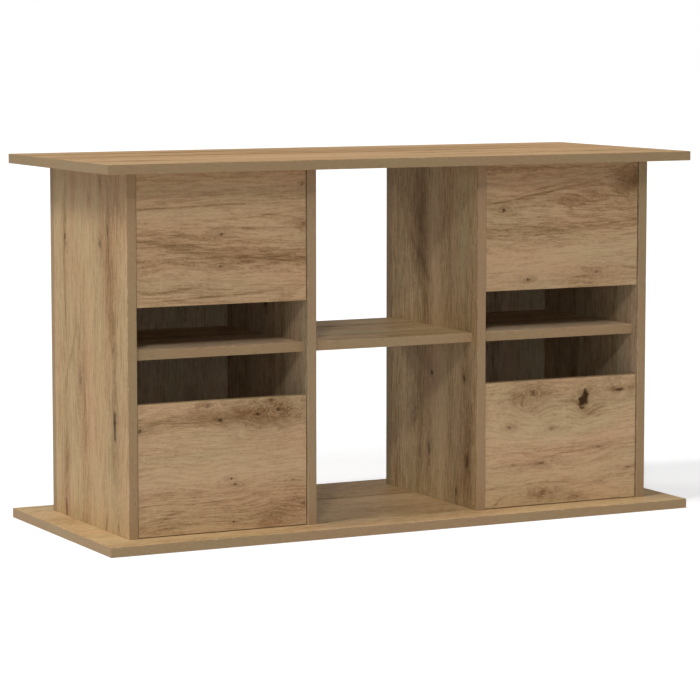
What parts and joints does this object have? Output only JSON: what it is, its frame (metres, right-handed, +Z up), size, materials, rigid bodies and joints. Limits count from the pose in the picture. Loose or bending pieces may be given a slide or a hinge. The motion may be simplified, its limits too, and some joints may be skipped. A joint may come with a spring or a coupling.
{
  "type": "aquarium stand cabinet",
  "caption": "Low board cabinet with overhanging top and base plates, an open middle bay, and closed side bays with inset doors beside a mid shelf.",
  "frame": {"origin": "middle of the base panel's underside, on the floor", "axes": "+X to the right seen from the front, +Y to the back, +Z up; the doors face -Y"},
  "size_m": [1.01, 0.41, 0.58],
  "materials": {
    "oak_board": "satin knotty oak laminate",
    "hinge_steel": "nickel-plated pressed steel",
    "screw_steel": "zinc-plated steel",
    "fitting_zinc": "die-cast zinc",
    "beech": "bare turned beech",
    "stop_plastic": "moulded plastic"
  },
  "bodies": {
    "root": {"base_panel": "oak_board", "top_panel": "oak_board", "left_side_panel": "oak_board", "right_side_panel": "oak_board", "left_divider": "oak_board", "right_divider": "oak_board", "left_shelf": "oak_board", "centre_shelf": "oak_board", "right_shelf": "oak_board", "left_back_panel": "oak_board", "right_back_panel": "oak_board", "top_cam_bolts": "screw_steel", "top_cam_locks": "fitting_zinc", "top_dowels": "beech", "base_screws": "screw_steel", "base_dowels": "beech", "shelf_cam_bolts": "screw_steel", "shelf_through_bolts": "screw_steel", "shelf_cam_locks": "fitting_zinc", "shelf_dowels": "beech", "divider_dowels": "beech", "back_panel_screws": "screw_steel", "door_stops": "stop_plastic", "hinge_arms": "hinge_steel", "hinge_mounting_plates": "hinge_steel", "hinge_arm_screws": "screw_steel", "mounting_plate_screws": "screw_steel"},
    "left_lower_door_body": {"left_lower_door": "oak_board", "left_lower_hinge_cups": "hinge_steel", "left_lower_hinge_pins": "screw_steel", "left_lower_cup_screws": "screw_steel"},
    "left_upper_door_body": {"left_upper_door": "oak_board", "left_upper_hinge_cups": "hinge_steel", "left_upper_hinge_pins": "screw_steel", "left_upper_cup_screws": "screw_steel"},
    "right_lower_door_body": {"right_lower_door": "oak_board", "right_lower_hinge_cups": "hinge_steel", "right_lower_hinge_pins": "screw_steel", "right_lower_cup_screws": "screw_steel"},
    "right_upper_door_body": {"right_upper_door": "oak_board", "right_upper_hinge_cups": "hinge_steel", "right_upper_hinge_pins": "screw_steel", "right_upper_cup_screws": "screw_steel"}
  },
  "joints": [
    {"name": "left_lower_door_hinge", "type": "hinge", "parent": "root", "child": "left_lower_door_body", "pos_m": [-0.41875, -0.1465, 0.1165], "axis": [0, 0, -1], "range_deg": [0, 95]},
    {"name": "left_upper_door_hinge", "type": "hinge", "parent": "root", "child": "left_upper_door_body", "pos_m": [-0.41875, -0.1465, 0.4635], "axis": [0, 0, -1], "range_deg": [0, 95]},
    {"name": "right_lower_door_hinge", "type": "hinge", "parent": "root", "child": "right_lower_door_body", "pos_m": [0.41875, -0.1465, 0.1165], "axis": [0, 0, 1], "range_deg": [0, 95]},
    {"name": "right_upper_door_hinge", "type": "hinge", "parent": "root", "child": "right_upper_door_body", "pos_m": [0.41875, -0.1465, 0.4635], "axis": [0, 0, 1], "range_deg": [0, 95]}
  ]
}
